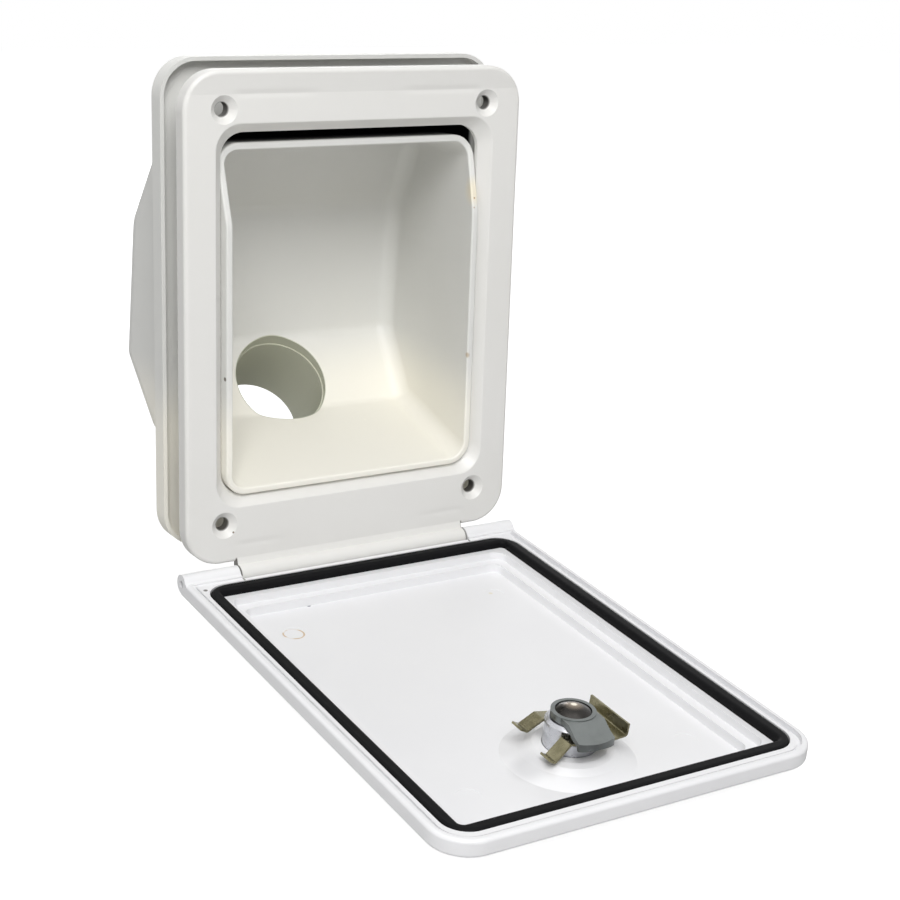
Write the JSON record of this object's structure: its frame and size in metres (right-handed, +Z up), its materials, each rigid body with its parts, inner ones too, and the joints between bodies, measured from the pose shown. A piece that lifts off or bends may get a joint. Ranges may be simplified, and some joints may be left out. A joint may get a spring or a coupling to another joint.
{
  "type": "water filler hatch",
  "caption": "White moulded water filler hatch: screw-on frame, recessed tub with an angled hose spigot, and a sealed hinged lid with a key lock.",
  "frame": {"origin": "middle of the four screw holes, on the plane where the frame seats on the outside of the wall", "axes": "+X to the right seen from outside, +Y into the wall, +Z up"},
  "size_m": [0.156, 0.3198, 0.2336],
  "materials": {
    "abs_white": "satin",
    "abs_tub": "satin",
    "abs_lid": "satin",
    "rubber_black": "matte",
    "steel": "drawn",
    "zinc_cast": "die cast",
    "zinc_cam": "die cast",
    "steel_cap": "polished",
    "rivet_steel": "dark bright",
    "zinc_yellow": "yellow passivated",
    "brass": "stamped"
  },
  "bodies": {
    "body": {"outer_frame": "abs_white", "rear_tub": "abs_tub", "hinge_pin_left": "steel", "hinge_pin_right": "steel"},
    "lid": {"lid": "abs_lid", "lid_seal": "rubber_black", "lock_housing": "zinc_cast", "lock_cap": "steel_cap", "lock_gasket": "rubber_black", "lock_clip": "zinc_yellow"},
    "lock_turn": {"lock_plug": "zinc_cast", "cam_washer": "steel", "lock_cam": "zinc_cam", "cam_rivet": "rivet_steel", "wafer_1": "brass", "wafer_2": "brass", "wafer_3": "brass", "wafer_4": "brass", "wafer_5": "brass", "wafer_spring_1": "steel", "wafer_spring_2": "steel", "wafer_spring_3": "steel", "wafer_spring_4": "steel", "wafer_spring_5": "steel"}
  },
  "joints": [
    {"name": "lid_hinge", "type": "hinge", "parent": "body", "child": "lid", "pos_m": [0, -0.0083, -0.1032], "axis": [1, 0, 0], "range_deg": [-95.63, 0]},
    {"name": "lock_turn", "type": "hinge", "parent": "lid", "child": "lock_turn", "pos_m": [0, -0.16584, -0.11873], "axis": [0, -0.0981, 0.9952], "range_deg": [-90, 0]}
  ]
}
